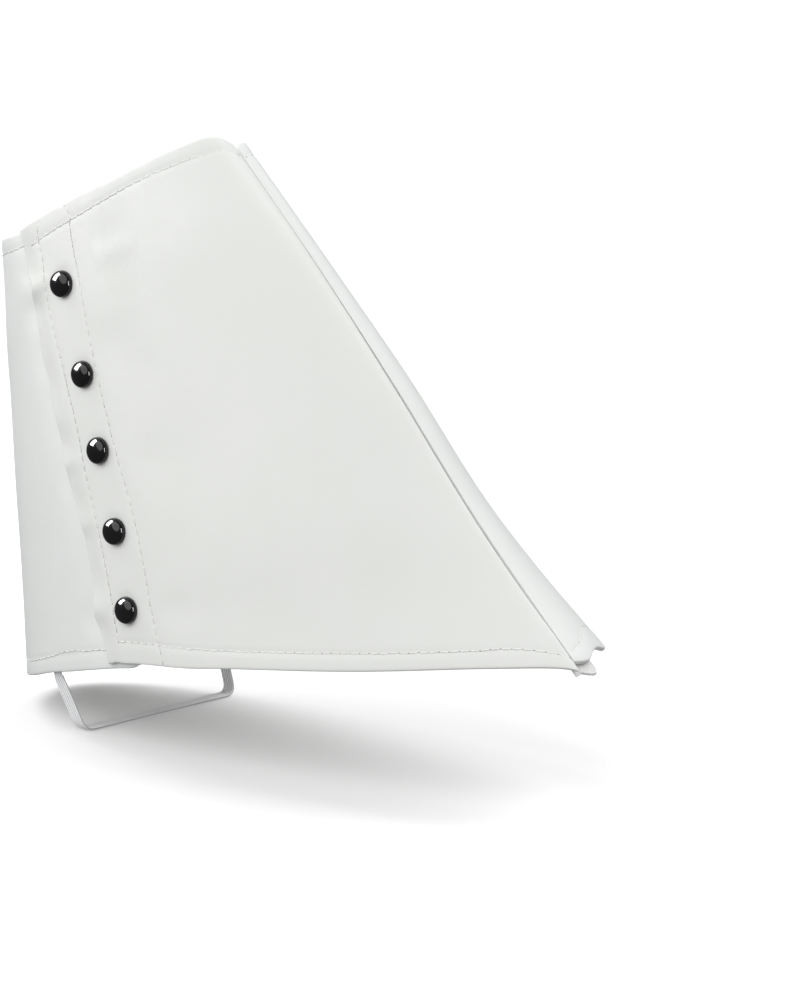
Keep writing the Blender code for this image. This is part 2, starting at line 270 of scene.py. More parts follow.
# %% Places on a quarter
Quarter = namedtuple("Quarter", "width run hem_rise rim_drop")
Spot = namedtuple("Spot", "across up width height run share level")
SETTLING_ROUNDS = 6


def settle(quarter, across_of, up_of, shape):
    """Where places on a quarter lie on the form. across_of takes the quarter's width there, and up_of its
    height. A quarter's hem may rise and its rim drop. Each round uses the levels that the last one found."""
    level = np.full(shape, 0.5)
    for _ in range(SETTLING_ROUNDS):
        width = quarter.width(level)
        across = across_of(width)
        run = quarter.run(across, level)
        share = np.clip(share_at(run, level), -1, 1)
        rise = quarter.hem_rise(across, width)
        height = height_at(share) - rise - quarter.rim_drop(across, width)
        up = up_of(height)
        level = level_at(share, rise + up)
    return Spot(across, up, width, height, run, share, level)


def lines_between(near, far, steps):
    """Lines across a width: fixed ones beside its two ends, and even ones between. Each line is a base in
    millimetres and a share of the width."""
    t = np.linspace(0, 1, steps + 1)[1:-1]
    bases = np.concatenate([near, near[-1] - (near[-1] + far[-1]) * t, -np.array(far[::-1])])
    shares = np.concatenate([np.zeros(len(near)), t, np.ones(len(far))])
    return bases, shares


def settle_net(quarter, across_lines, up_lines):
    """A whole net of places on a quarter, from its lines across and its lines up."""
    (across, across_share), (up, up_share) = across_lines, up_lines
    return settle(
        quarter,
        lambda width: across + across_share * width,
        lambda height: up[:, None] + up_share[:, None] * height,
        (len(up), len(across)),
    )


WALL = 1.2
TURNED_WALL = 1.6
TURN_DEPTH = 10.0
TURN_FADE = 0.8
EDGE_ROUND = 0.42
ROUND_STEPS = 4


def edge_lines(reach, spacing):
    """Distances from an edge: close ones round the edge itself, and then even ones as far as the reach."""
    angles = np.linspace(0, math.pi / 2, ROUND_STEPS + 1)
    rounded = EDGE_ROUND * (1 - np.cos(angles))
    count = round((reach - EDGE_ROUND) / spacing)
    return np.concatenate([rounded, EDGE_ROUND + (reach - EDGE_ROUND) * np.arange(1, count + 1) / count])


def rounding(distance, reach=EDGE_ROUND):
    """How much of the wall's thickness there is at a distance from one of its edges."""
    return np.sqrt(1 - (1 - np.clip(distance / reach, 0, 1)) ** 2)


def smooth_step(value):
    value = np.clip(value, 0, 1)
    return value * value * (3 - 2 * value)


def bump(value, middle, reach):
    """A soft bump: 1 at the middle, and gone a little past the reach."""
    return np.exp(-(((value - middle) / reach) ** 2))


def wall_at(spot, turned):
    """The wall's thickness: greater where the hem or the rim is turned to the inside."""
    from_edge = np.minimum(spot.up, spot.height - spot.up)
    folded = smooth_step((TURN_DEPTH - from_edge) / TURN_FADE)
    return WALL + (TURNED_WALL - WALL) * folded * turned


# %% A closed shell of cloth
# The groove along the front seam: half its width at the outside skins, by level, and at the inside skins.
SeamGap = namedtuple("SeamGap", "level half_width")
SEAM_GAPS = (
    SeamGap(0.00, 0.22),
    SeamGap(0.45, 0.20),
    SeamGap(0.65, 0.08),
    SeamGap(0.80, 0.03),
    SeamGap(1.00, 0.03),
)
SEAM_TOUCH = 0.03
SEAM_ROUND = 0.06
SEAM_FROM_SHARE = 0.8


def skins(spot, lift, thickness):
    """Points of the outside and the inside skin. Neither crosses the middle plane at the front seam."""
    near_seam = np.abs(spot.share) > SEAM_FROM_SHARE
    side_edge = np.minimum(spot.across, spot.width - spot.across)
    around = np.where(near_seam, rounding(side_edge, SEAM_ROUND), rounding(side_edge))
    around = around * rounding(spot.up) * rounding(spot.height - spot.up)
    out = unit(on_net(NET_OUT, spot.share, spot.level))
    middle = on_net(NET, spot.share, spot.level) + out * (lift - thickness / 2)[..., None]
    half = out * (thickness / 2 * around)[..., None]
    side = np.where(spot.share < 0, OUTER, INNER)
    gap = column_at(SEAM_GAPS, "half_width", spot.level)
    both = []
    for skin, apart in ((middle + half, gap), (middle - half, SEAM_TOUCH)):
        held = side * np.maximum(side * skin[..., 1], apart)
        skin[..., 1] = np.where(near_seam, held, skin[..., 1])
        both.append(skin)
    return both


def lay_uv(mesh, flat):
    """Gives a mesh a UV map from a place in the cloth, in metres, for each of its points."""
    corners = np.array([loop.vertex_index for loop in mesh.loops])
    mesh.uv_layers.new(name="cloth").data.foreach_set("uv", flat[corners].ravel())


def add_piece(name, mesh):
    """A piece of a finished mesh, smooth, at the origin."""
    mesh.shade_smooth()
    mesh.update()
    piece = bpy.data.objects.new(name, mesh)
    bpy.context.scene.collection.objects.link(piece)
    return piece


def shell(name, spot, outside, inside):
    """A closed mesh of two skins that share their border. Its UV map holds the cloth's own distances, in
    metres. The first material is the outside's, and the second the inside's."""
    rows, columns = spot.level.shape
    index = np.arange(rows * columns).reshape(rows, columns)
    under = index.copy()
    inner_count = (rows - 2) * (columns - 2)
    under[1:-1, 1:-1] = rows * columns + np.arange(inner_count).reshape(rows - 2, columns - 2)
    points = np.concatenate([outside.reshape(-1, 3), inside[1:-1, 1:-1].reshape(-1, 3)])
    faces = []
    for grid, turned in ((index, False), (under, True)):
        corners = [grid[:-1, :-1], grid[:-1, 1:], grid[1:, 1:], grid[1:, :-1]]
        quads = np.stack(corners, axis=-1).reshape(-1, 4)
        faces.append(quads[:, ::-1] if turned else quads)
    mesh = bpy.data.meshes.new(name)
    mesh.from_pydata(to_frame(points).tolist(), [], np.concatenate(faces).tolist())
    flat = np.stack([spot.run, spot.up], axis=-1).reshape(-1, 2) * MM
    lay_uv(mesh, np.concatenate([flat, flat.reshape(rows, columns, 2)[1:-1, 1:-1].reshape(-1, 2)]))
    mesh.polygons.foreach_set("material_index", np.repeat([0, 1], [len(faces[0]), len(faces[1])]))
    print(name, "has", 2 * len(mesh.polygons), "triangles")
    return add_piece(name, mesh)


# %% [markdown]
# ## Outer quarter
#
# The outer quarter runs from the front seam back to the buttoned edge, and its last 30 mm lie over the
# underlap. Its edge is not straight: it runs forward and back in waves, and between the buttons it stands up
# in short folds, each steeper on one side than on the other. Waves and folds are set from short tables,
# because each is a different size. Broad, shallow swells keep the panel from looking like moulded plastic.
# A sculpting brush would do as well, but a table can be corrected one fold at a time.

# %% Cut and lift of the outer quarter
UNDERLAP = 30.0
LAP_FADE = 20.0
LAP_LIFT = 1.5
LAP_HEM_RISE = 1.6
LAP_HEM_FROM = 42.0
LAP_HEM_FADE = 32.0
RIM_RAISE = 0.5
RIM_RAISE_FROM = 40.0
RIM_RAISE_FADE = 14.0

# Small bumps in the line of the hem or the rim: the height of each, its middle across, and its reach.
LineBump = namedtuple("LineBump", "height middle reach")
CORNER_NICK = LineBump(0.45, 5, 3)
TIP_RISE = LineBump(0.35, 138, 22)
RIM_CORNER = LineBump(0.4, 4.5, 2.5)

# The buttoned edge lies a little behind its smooth line, and its waves stand forward or back of that. A
# wave's reach is a share of the height.
EDGE_SPARE = 0.6
EdgeWave = namedtuple("EdgeWave", "level forward reach")
EDGE_WAVES = (
    EdgeWave(0.945, 1.3, 0.040),
    EdgeWave(0.868, 3.0, 0.027),
    EdgeWave(0.812, 0.9, 0.030),
    EdgeWave(0.760, 0.9, 0.035),
    EdgeWave(0.652, 0.8, 0.035),
    EdgeWave(0.425, -1.1, 0.045),
    EdgeWave(0.300, 0.5, 0.040),
    EdgeWave(0.120, -2.1, 0.036),
)

# Folds at the buttoned edge, raised or sunk. The reaches above and below a fold are shares of the height, and
# the fold fades at its depth from the edge. The edge itself rolls in a little, and what lies under it follows
# its sunk parts by the share PRESSED.
Fold = namedtuple("Fold", "level height above below depth")
FOLDS = (
    Fold(0.862, 1.15, 0.032, 0.021, 7.5),
    Fold(0.814, -0.35, 0.024, 0.032, 7.5),
    Fold(0.560, 0.5, 0.060, 0.040, 7.0),
    Fold(0.458, 0.6, 0.034, 0.020, 6.5),
    Fold(0.318, 0.5, 0.035, 0.020, 6.5),
    Fold(0.131, 0.6, 0.036, 0.026, 8.0),
    Fold(0.100, -0.15, 0.020, 0.032, 7.0),
)
EDGE_ROLL = -0.9
ROLL_REACH = 5.5
PRESSED = 0.85

# Broad swells of a panel: the middle and the reach of each in the cloth, and its height.
Swell = namedtuple("Swell", "across up reach_across reach_up height")
OUTER_SWELLS = (
    Swell(36, 120, 13, 26, 0.30),
    Swell(52, 74, 18, 22, -0.45),
    Swell(92, 52, 26, 24, 0.50),
    Swell(70, 20, 20, 14, -0.35),
    Swell(132, 30, 22, 20, -0.40),
    Swell(64, 150, 16, 18, 0.40),
    Swell(38, 104, 11, 10, -0.40),
)


def smooth_edge(level):
    """The buttoned edge without its waves, which the buttons and rows are measured from."""
    return column_at(SECTIONS, "edge_from_heel", level)


def edge_from_heel(level):
    """How far round from the heel the buttoned edge lies."""
    place = smooth_edge(level) - EDGE_SPARE
    for wave in EDGE_WAVES:
        place = place + wave.forward * bump(level, wave.level, wave.reach)
    return place


def lapped(across):
    """How far the outer quarter has risen on to the underlap: 0 in front of the lap, and 1 on it."""
    return smooth_step((UNDERLAP + LAP_FADE - across) / LAP_FADE)


def line_bump(given, across):
    return given.height * bump(across, given.middle, given.reach)


outer_cut = Quarter(
    width=lambda level: side_length(OUTER, level) - edge_from_heel(level),
    run=lambda across, level: -edge_from_heel(level) - across,
    hem_rise=lambda across, width: LAP_HEM_RISE * smooth_step((LAP_HEM_FROM - across) / LAP_HEM_FADE)
    + line_bump(CORNER_NICK, across)
    + line_bump(TIP_RISE, across),
    rim_drop=lambda across, width: -RIM_RAISE * smooth_step((across - RIM_RAISE_FROM) / RIM_RAISE_FADE)
    - line_bump(RIM_CORNER, width - across),
)


def edge_folds(level, ahead):
    """The folds and the roll of the buttoned edge, as raised and sunk parts. Ahead is the distance in front
    of the edge. The layer underneath follows the sunk part."""
    raised, sunk = np.zeros_like(level), EDGE_ROLL * bump(ahead, 0, ROLL_REACH)
    for fold in FOLDS:
        reach = np.where(level > fold.level, fold.above, fold.below)
        part = fold.height * bump(level, fold.level, reach) * bump(ahead, 0, fold.depth)
        raised, sunk = raised + np.maximum(part, 0), sunk + np.minimum(part, 0)
    return np.stack([raised, sunk])


def swelling(swells, spot):
    """The broad swells of a panel, added up."""
    total = np.zeros_like(spot.level)
    for swell in swells:
        near = bump(spot.across, swell.across, swell.reach_across)
        total += swell.height * near * bump(spot.up, swell.up, swell.reach_up)
    return total


# %% [markdown]
# ### Sewn rows
#
# Four rows of stitches show on the outer quarter: two run down the lap, one follows the turned hem and one
# the turned rim. None is quite parallel to its edge, so their distances from it are set out in tables. A
# row of stitches pulls the cloth into a shallow channel, deepest at each stitch, and leaves the turned edge
# beside it a little fuller. That relief is real shape, so it is added to the cloth's lift, together with the
# shallow seats of the buttons and the roll of the front edge into its seam.

# %% Where the rows run, and the relief they leave
PITCH = 3.25
ROW_DEPTH = 0.17
ROW_REACH = 0.8
PUCKER = 0.3
FULLNESS = 0.05

# The two rows down the lap, by level: how far each runs in front of the buttoned edge's smooth line.
LapRow = namedtuple("LapRow", "level first second")
LAP_ROWS = (
    LapRow(0.00, 7.9, 26.9),
    LapRow(0.10, 7.9, 25.8),
    LapRow(0.21, 8.0, 25.7),
    LapRow(0.34, 8.3, 25.7),
    LapRow(0.42, 8.3, 24.7),
    LapRow(0.51, 9.3, 24.3),
    LapRow(0.60, 9.6, 24.4),
    LapRow(0.70, 9.8, 25.0),
    LapRow(0.78, 9.1, 25.6),
    LapRow(0.85, 9.2, 25.7),
    LapRow(0.89, 10.3, 25.6),
    LapRow(0.945, 9.9, 25.4),
    LapRow(0.966, 9.9, 26.6),
    LapRow(1.00, 12.0, 24.0),
)

# The rows along the hem and the rim, by distance in front of the buttoned edge.
EdgeRow = namedtuple("EdgeRow", "across from_hem from_rim")
EDGE_ROWS = (
    EdgeRow(0, 7.1, 7.5),
    EdgeRow(10, 7.05, 6.6),
    EdgeRow(28, 7.0, 6.2),
    EdgeRow(45, 6.3, 4.9),
    EdgeRow(60, 6.0, 4.9),
    EdgeRow(75, 6.1, 5.6),
    EdgeRow(87, 6.2, 5.4),
    EdgeRow(115, 6.2, 5.2),
    EdgeRow(138, 6.2, 5.2),
    EdgeRow(152, 6.8, 5.2),
    EdgeRow(160, 6.3, 5.2),
    EdgeRow(167, 5.2, 5.2),
    EdgeRow(180, 4.8, 5.2),
)
HEM_ROW_START = 8.4
RIM_ROW_START = 5.4


def channel(distance, along):
    """The channel that a row pulls into the cloth, deepest in the middle of each stitch."""
    stitched = 1 - PUCKER + PUCKER * np.cos(2 * math.pi * (along / PITCH + 0.5))
    return -ROW_DEPTH * bump(distance, 0, ROW_REACH) * stitched


def fullness(distance, row):
    """How full a turned edge stands, between its fold and its row of stitches."""
    return FULLNESS * np.sin(math.pi * np.clip(distance / row, 0, 1)) ** 2


def outer_rows(spot):
    """The relief of the outer quarter's four rows and its turned edges."""
    from_hem, from_rim = spot.up, spot.height - spot.up
    hem_row = column_at(EDGE_ROWS, "from_hem", spot.across)
    rim_row = column_at(EDGE_ROWS, "from_rim", spot.across)
    relief = np.where(spot.across > HEM_ROW_START, channel(from_hem - hem_row, spot.across), 0)
    relief += np.where(spot.across > RIM_ROW_START, channel(from_rim - rim_row, spot.across), 0)
    ahead = -spot.run - smooth_edge(spot.level)
    first = ahead - column_at(LAP_ROWS, "first", spot.level)
    second = ahead - column_at(LAP_ROWS, "second", spot.level)
    relief += np.where(from_hem > hem_row, channel(first, spot.up), 0) + channel(second, spot.up)
    return relief + fullness(from_hem, hem_row) + fullness(from_rim, rim_row)


# %% Where the buttons sit, and how the cloth gives under them
BUTTON_RADIUS = 4.35
SEAT_DEPTH = 0.14
SEAT_REACH = 1.3
# Each button's place, and how far it has turned to the front on its soft seat, in degrees.
Button = namedtuple("Button", "level from_edge turn")
BUTTONS = (
    Button(0.842, 18.3, 9),
    Button(0.640, 19.0, 5),
    Button(0.470, 17.6, 4),
    Button(0.2935, 16.7, 9),
    Button(0.1255, 15.1, 8),
)


def button_seats(spot):
    """A shallow ring round each button, where the cloth is drawn in under its rim."""
    relief = np.zeros_like(spot.level)
    for button in BUTTONS:
        ahead = -spot.run - smooth_edge(spot.level) - button.from_edge
        above = (spot.level - button.level) * (spot.height + LAP_HEM_RISE)
        away = np.hypot(ahead, above)
        relief -= SEAT_DEPTH * bump(np.maximum(away - BUTTON_RADIUS, 0), 0, SEAT_REACH)
    return relief


# %% How the outer quarter stands off the form
# How deep its front edge rolls in towards the seam, by level.
SeamRoll = namedtuple("SeamRoll", "level depth")
SEAM_ROLLS = (
    SeamRoll(0.00, 0.05),
    SeamRoll(0.05, 0.12),
    SeamRoll(0.12, 0.45),
    SeamRoll(0.45, 0.50),
    SeamRoll(0.70, 0.15),
    SeamRoll(0.85, 0.00),
    SeamRoll(1.00, 0.00),
)
SEAM_ROLL_REACH = 2.4


def outer_lift(spot):
    """How far the outer quarter's outside stands off the form."""
    lift = LAP_LIFT * lapped(spot.across) + swelling(OUTER_SWELLS, spot)
    lift = lift + edge_folds(spot.level, spot.across).sum(axis=0)
    from_seam = spot.width - spot.across
    seam_roll = column_at(SEAM_ROLLS, "depth", spot.level) * bump(from_seam, 0, SEAM_ROLL_REACH)
    return lift + outer_rows(spot) + button_seats(spot) - seam_roll


# %% Build the outer quarter
outer_lines = lines_between(edge_lines(29.0, 0.8), edge_lines(6.0, 0.6), 92)
outer_rows_up = lines_between(edge_lines(12.0, 0.8), edge_lines(10.0, 0.8), 136)
outer_spot = settle_net(outer_cut, outer_lines, outer_rows_up)
outer_wall = wall_at(outer_spot, 1 - lapped(outer_spot.across))
outer_skins = skins(outer_spot, outer_lift(outer_spot), outer_wall)
outer_quarter = shell("outer_quarter_cloth", outer_spot, *outer_skins)

# %% [markdown]
# ## Inner quarter
#
# The inner quarter starts beside the front seam, runs round the inner side and the heel, and ends as the
# underlap, which is pressed in a little where the folds of the buttoned edge sink on to it. Beside the seam
# its turned allowance pulls at it, so there its hem steps up and its rim down, by a table. The ankle bends on
# this side, so it has a few broad swells of its own. It is laid and closed in the same way as the outer one.

# %% Cut and lift of the inner quarter
# How far the hem rises and the rim drops, by distance round from the front seam.
EdgeStep = namedtuple("EdgeStep", "across hem_rise rim_drop")
INNER_EDGE_STEPS = (
    EdgeStep(0.0, 4.3, 1.0),
    EdgeStep(2.5, 3.4, 1.5),
    EdgeStep(5.0, 2.7, 2.9),
    EdgeStep(7.0, 2.5, 3.2),
    EdgeStep(9.5, 3.0, 3.2),
    EdgeStep(12.0, 3.8, 3.1),
    EdgeStep(15.0, 3.9, 2.9),
    EdgeStep(18.0, 3.5, 2.6),
    EdgeStep(25.0, 1.1, 1.8),
    EdgeStep(34.0, 0.0, 0.8),
    EdgeStep(45.0, 0.0, 0.0),
    EdgeStep(240.0, 0.0, 0.0),
    EdgeStep(285.0, 1.2, 0.0),
    EdgeStep(330.0, 1.3, 0.0),
    EdgeStep(352.0, 0.1, 0.0),
    EdgeStep(375.0, 0.0, 0.0),
    EdgeStep(420.0, 0.0, 0.0),
)
# The underlap's hem and rim step in near its end, so that they don't show below or above the lap.
EndStep = namedtuple("EndStep", "height from_end fade")
UNDERLAP_NICK = EndStep(1.3, 20, 5)
UNDERLAP_DROP = EndStep(0.6, 28, 10)
ROWS_UNDER_LAP = 2.0
ROWS_FADE = 4.0
INNER_SWELLS = (
    Swell(38, 120, 12, 22, 0.50),
    Swell(70, 84, 20, 12, -0.60),
    Swell(84, 104, 22, 12, 0.55),
    Swell(120, 60, 30, 18, 0.50),
    Swell(150, 96, 18, 24, -0.45),
    Swell(60, 30, 24, 14, -0.45),
    Swell(210, 40, 26, 18, 0.40),
    Swell(185, 110, 16, 20, 0.40),
)

# The rows along the hem and the rim, by distance round from the front seam.
INNER_EDGE_ROWS = (
    EdgeRow(0, 3.4, 4.2),
    EdgeRow(2, 4.2, 5.2),
    EdgeRow(5.5, 5.9, 5.2),
    EdgeRow(12, 6.4, 5.0),
    EdgeRow(20, 8.4, 4.8),
    EdgeRow(32, 8.2, 4.8),
    EdgeRow(60, 6.4, 4.5),
    EdgeRow(150, 6.6, 4.9),
    EdgeRow(200, 6.2, 4.8),
    EdgeRow(275, 6.0, 4.8),
    EdgeRow(318, 4.9, 4.8),
    EdgeRow(336, 4.9, 4.8),
    EdgeRow(356, 6.1, 4.8),
    EdgeRow(405, 6.2, 4.8),
)


def end_step(step, across, width):
    return step.height * smooth_step((across - width + step.from_end) / step.fade)


inner_cut = Quarter(
    width=lambda level: side_length(INNER, level) + edge_from_heel(level) + UNDERLAP,
    run=lambda across, level: side_length(INNER, level) - across,
    hem_rise=lambda across, width: column_at(INNER_EDGE_STEPS, "hem_rise", across)
    + end_step(UNDERLAP_NICK, across, width),
    rim_drop=lambda across, width: column_at(INNER_EDGE_STEPS, "rim_drop", across)
    + end_step(UNDERLAP_DROP, across, width),
)


def inner_lift(spot):
    """How far the inner quarter's outside stands off the form."""
    from_hem, from_rim = spot.up, spot.height - spot.up
    hem_row = column_at(INNER_EDGE_ROWS, "from_hem", spot.across)
    rim_row = column_at(INNER_EDGE_ROWS, "from_rim", spot.across)
    relief = channel(from_hem - hem_row, spot.across) + channel(from_rim - rim_row, spot.across)
    relief += fullness(from_hem, hem_row) + fullness(from_rim, rim_row)
    relief = relief * smooth_step((spot.width - UNDERLAP + ROWS_UNDER_LAP - spot.across) / ROWS_FADE)
    ahead = -spot.run - edge_from_heel(spot.level)
    relief += PRESSED * edge_folds(spot.level, ahead)[1]
    return relief + swelling(INNER_SWELLS, spot)


# %% Build the inner quarter
inner_lines = lines_between(edge_lines(8.0, 0.6), edge_lines(3.0, 0.8), 200)
inner_rows_up = lines_between(edge_lines(12.0, 0.8), edge_lines(10.0, 0.8), 112)
inner_spot = settle_net(inner_cut, inner_lines, inner_rows_up)
inner_wall = wall_at(inner_spot, np.ones_like(inner_spot.level))
inner_skins = skins(inner_spot, inner_lift(inner_spot), inner_wall)
inner_quarter = shell("inner_quarter_cloth", inner_spot, *inner_skins)

# %% [markdown]
# ## Front seam allowance
#
# The two quarters are sewn right sides together and turned, so the inner quarter's allowance lies flat
# inside it. Below the point it was never trimmed: the photograph shows its end as a small white tab. It is
# the same cloth with its backing outwards, and its cut end has begun to fray.

# %% Build the front seam allowance
ALLOWANCE_WIDTH = 6.2
ALLOWANCE_FLARE = 4.6
FLARE_LEVEL = 0.05
ALLOWANCE_BELOW_RIM = 4.4
ALLOWANCE_SINK = 2.15
ALLOWANCE_WALL = 1.0
# Its free edge waves a little, and its cut end is frayed by two crossed waves, in radians a millimetre.
ALLOWANCE_WAVE = 0.15
WAVE_TURN = 0.21
FRAY = 0.12
FRAY_TURNS = (6.1, 2.3)
# How far its cut end hangs below the form's hem, by distance from the seam.
CutEnd = namedtuple("CutEnd", "across drop")
CUT_END = (
    CutEnd(0.0, -0.6),
    CutEnd(2.0, -1.0),
    CutEnd(5.0, 0.4),
    CutEnd(8.2, 1.7),
    CutEnd(10.0, 1.5),
    CutEnd(12.0, -1.0),
)

allowance_cut = Quarter(
    width=lambda level: ALLOWANCE_WIDTH + ALLOWANCE_FLARE * smooth_step((FLARE_LEVEL - level) / FLARE_LEVEL),
    run=lambda across, level: side_length(INNER, level) - across,
    hem_rise=lambda across, width: FRAY * np.sin(across * FRAY_TURNS[0]) * np.sin(across * FRAY_TURNS[1] + 1)
    - column_at(CUT_END, "drop", across),
    rim_drop=lambda across, width: ALLOWANCE_BELOW_RIM,
)
allowance_spot = settle_net(
    allowance_cut,
    lines_between(edge_lines(1.4, 0.25), edge_lines(1.4, 0.25), 18),
    lines_between(edge_lines(3.0, 0.4), edge_lines(3.0, 0.4), 110),
)
free_share = allowance_spot.across / ALLOWANCE_WIDTH
allowance_lift = -ALLOWANCE_SINK + ALLOWANCE_WAVE * np.sin(allowance_spot.up * WAVE_TURN) * free_share
allowance_wall = np.full_like(allowance_spot.level, ALLOWANCE_WALL)
allowance_skins = skins(allowance_spot, allowance_lift, allowance_wall)
seam_allowance = shell("front_seam_allowance_cloth", allowance_spot, *allowance_skins)

# %% [markdown]
# ## Elastic strap
#
# A flat braided elastic runs from inside the hem on one side, under the heel, to inside the hem on the
# other. Its lengthwise ribs are rubber cores that the braid is worked round, so they are modelled as ribs of
# the section, not painted on; the grooves between them are painted grey, as painted shade. The strap is
# stretched, so its sides run straight and only the two corners bend. The section is swept along that line in
# mesh code, since a curve's bevel would twist at the corners.

# %% Build the strap
STRAP_WIDTH = 4.9
STRAP_WALL = 0.85
STRAP_RIBS = 5
RIB_RELIEF = 0.24
STRAP_FROM_HEEL = 60.8
STRAP_SEWN = 8.0
STRAP_SINK = 2.65
STRAP_FLOOR_X = 44.9
STRAP_FLOOR_HALF = 32.5
STRAP_FLOOR_Z = -0.45
STRAP_BEND = 4.0
STRAP_SPACING = 0.8
SLOPE_STEPS = 27
BEND_STEPS = 8
FLOOR_STEPS = 29


def parts(count):
    """Even shares of a way, up to its end but without its start."""
    return np.linspace(0, 1, count + 1)[1:]


def strap_side(side):
    """Centres of the strap on one side, from its sewn end to the middle of the heel, and the way its width
    runs at each."""
    share = side * STRAP_FROM_HEEL / float(side_length(side, 0.0))
    centres, ways = [], []
    for climb in np.arange(STRAP_SEWN, -0.01, -STRAP_SPACING):
        place = np.array([share]), level_at(np.array([share]), np.array([climb]))
        centres.append((on_net(NET, *place) - unit(on_net(NET_OUT, *place)) * STRAP_SINK)[0])
        ways.append(unit(on_net(NET_ROUND, *place))[0] * side)
    middle = np.array((STRAP_FLOOR_X, 0.0, STRAP_FLOOR_Z))
    corner = middle + (0, side * STRAP_FLOOR_HALF, 0)
    hem = centres[-1]
    start = corner + unit(hem - corner) * STRAP_BEND
    end = corner - (0, side * STRAP_BEND, 0)
    slope = [hem + (start - hem) * t for t in parts(SLOPE_STEPS)]
    bend = [start * (1 - t) ** 2 + 2 * corner * t * (1 - t) + end * t**2 for t in parts(BEND_STEPS)]
    level = [end * (1 - t) + middle * t for t in parts(FLOOR_STEPS)]
    for centre in slope + bend + level:
        centres.append(centre)
        ways.append(np.array((1.0, 0.0, 0.0)))
    return np.array(centres), np.array(ways)


def strap_section():
    """Points round the ribbed section: along its width and through its thickness."""
    u = np.linspace(-1, 1, 6 * STRAP_RIBS + 1)
    ribs = np.abs(np.cos(u * math.pi * STRAP_RIBS / 2))
    edge = np.sqrt(1 - np.abs(u) ** 14)
    half = (STRAP_WALL / 2 - RIB_RELIEF * (1 - ribs)) * edge
    top = np.stack([u * STRAP_WIDTH / 2, half], axis=1)
    return np.concatenate([top, (top * (1, -1))[::-1][1:-1]])


def build_strap():
    near, near_ways = strap_side(OUTER)
    far, far_ways = strap_side(INNER)
    centres = np.concatenate([near, far[::-1][1:]])
    ways = np.concatenate([near_ways, far_ways[::-1][1:]])
    run = unit(np.gradient(centres, axis=0))
    across = unit(ways - run * (ways * run).sum(axis=1, keepdims=True))
    through = np.cross(run, across)
    section = strap_section()
    points = centres[:, None] + across[:, None] * section[:, :1] + through[:, None] * section[:, 1:]
    count, around = points.shape[:2]
    index = np.arange(count * around).reshape(count, around)
    after = np.roll(index, -1, axis=1)
    quads = np.stack([index[:-1], after[:-1], after[1:], index[1:]], axis=-1).reshape(-1, 4)
    mesh = bpy.data.meshes.new("under_strap_elastic")
    faces = quads.tolist() + [index[0, ::-1].tolist(), index[-1].tolist()]
    mesh.from_pydata(to_frame(points.reshape(-1, 3)).tolist(), [], faces)
    along = np.concatenate([[0], np.cumsum(np.linalg.norm(np.diff(centres, axis=0), axis=1))])
    flat = np.stack(np.broadcast_arrays(section[:, 0], along[:, None]), axis=-1)
    lay_uv(mesh, flat.reshape(-1, 2) * MM)
    shape = bmesh.new()
    shape.from_mesh(mesh)
    bmesh.ops.recalc_face_normals(shape, faces=shape.faces)
    shape.to_mesh(mesh)
    shape.free()
    print("The strap is", round(along[-1], 1), "mm long")
    return add_piece("under_strap_elastic", mesh)


under_strap = build_strap()

# %% [markdown]
# ## Buttons
#
# Each button is a pressed steel cap in black enamel: a dome with a fine bead round its foot, where the cap
# is rolled over its back plate. It is turned in shape, so a disc is added and its top face is extruded and
# drawn in ring by ring, up the bead and over the dome, as it would be by hand. The five are copies of one
# cap, each turned to face out from the cloth.

# %% Model one cap
BUTTON_HEIGHT = 3.0
CAP_TURNS = 56
CAP_FOOT = 3.7
# Radius and height of each ring, from the foot over the bead to the side of the dome.
CAP_BEAD = ((4.12, 0.10), (4.28, 0.22), (4.35, 0.38), (4.34, 0.52))
DOME_START = (4.30, 0.66)
DOME_RINGS = 12
# Powers under 1 make the dome's side and its top fuller than a ball's.
DOME_SIDE = 0.92
DOME_TOP = 0.98


def cap_profile():
    """Radius and height of all rings, up the bead and over the dome."""
    radius, height = DOME_START
    rings = list(CAP_BEAD)
    for step in range(DOME_RINGS):
        angle = math.pi / 2 * (1 - step / DOME_RINGS)
        rise = (BUTTON_HEIGHT - height) * math.cos(angle) ** DOME_TOP
        rings.append((radius * math.sin(angle) ** DOME_SIDE, height + rise))
    return rings


def model_cap():
    """The cap at the origin, facing +Z, in millimetres."""
    bpy.ops.object.select_all(action="DESELECT")
    bpy.ops.mesh.primitive_circle_add(vertices=CAP_TURNS, radius=CAP_FOOT, fill_type="NGON")
    cap = bpy.context.active_object
    bpy.ops.object.mode_set(mode="EDIT")
    bpy.ops.mesh.select_all(action="SELECT")
    last_radius, last_height = CAP_FOOT, 0.0
    for radius, height in cap_profile():
        bpy.ops.mesh.extrude_region_move(TRANSFORM_OT_translate={"value": (0, 0, height - last_height)})
        ratio = radius / last_radius
        bpy.ops.transform.resize(value=(ratio, ratio, 1), center_override=(0, 0, height))
        last_radius, last_height = radius, height
    bpy.ops.mesh.poke()
    bpy.ops.mesh.select_all(action="SELECT")
    bpy.ops.mesh.normals_make_consistent(inside=False)
    bpy.ops.object.mode_set(mode="OBJECT")
    for vertex in cap.data.vertices:
        if vertex.co.xy.length < 0.01 and vertex.co.z > 1:
            vertex.co.z = BUTTON_HEIGHT
    cap.data.shade_smooth()
    print("One cap:", len(cap.data.polygons), "faces,", round(cap.dimensions.z, 2), "mm high")
    return cap


# %% Set the five caps on the cloth
BUTTON_GAP = 0.3


def facing(place, out, along):
    """A matrix that puts X along a direction and Z out from the cloth, in millimetres of foot space."""
    z = Vector(out).normalized()
    x = Vector(along)
    x = (x - z * x.dot(z)).normalized()
    turn = Matrix((x, z.cross(x), z)).transposed().to_4x4()
    return Matrix.Translation(Vector(place)) @ turn


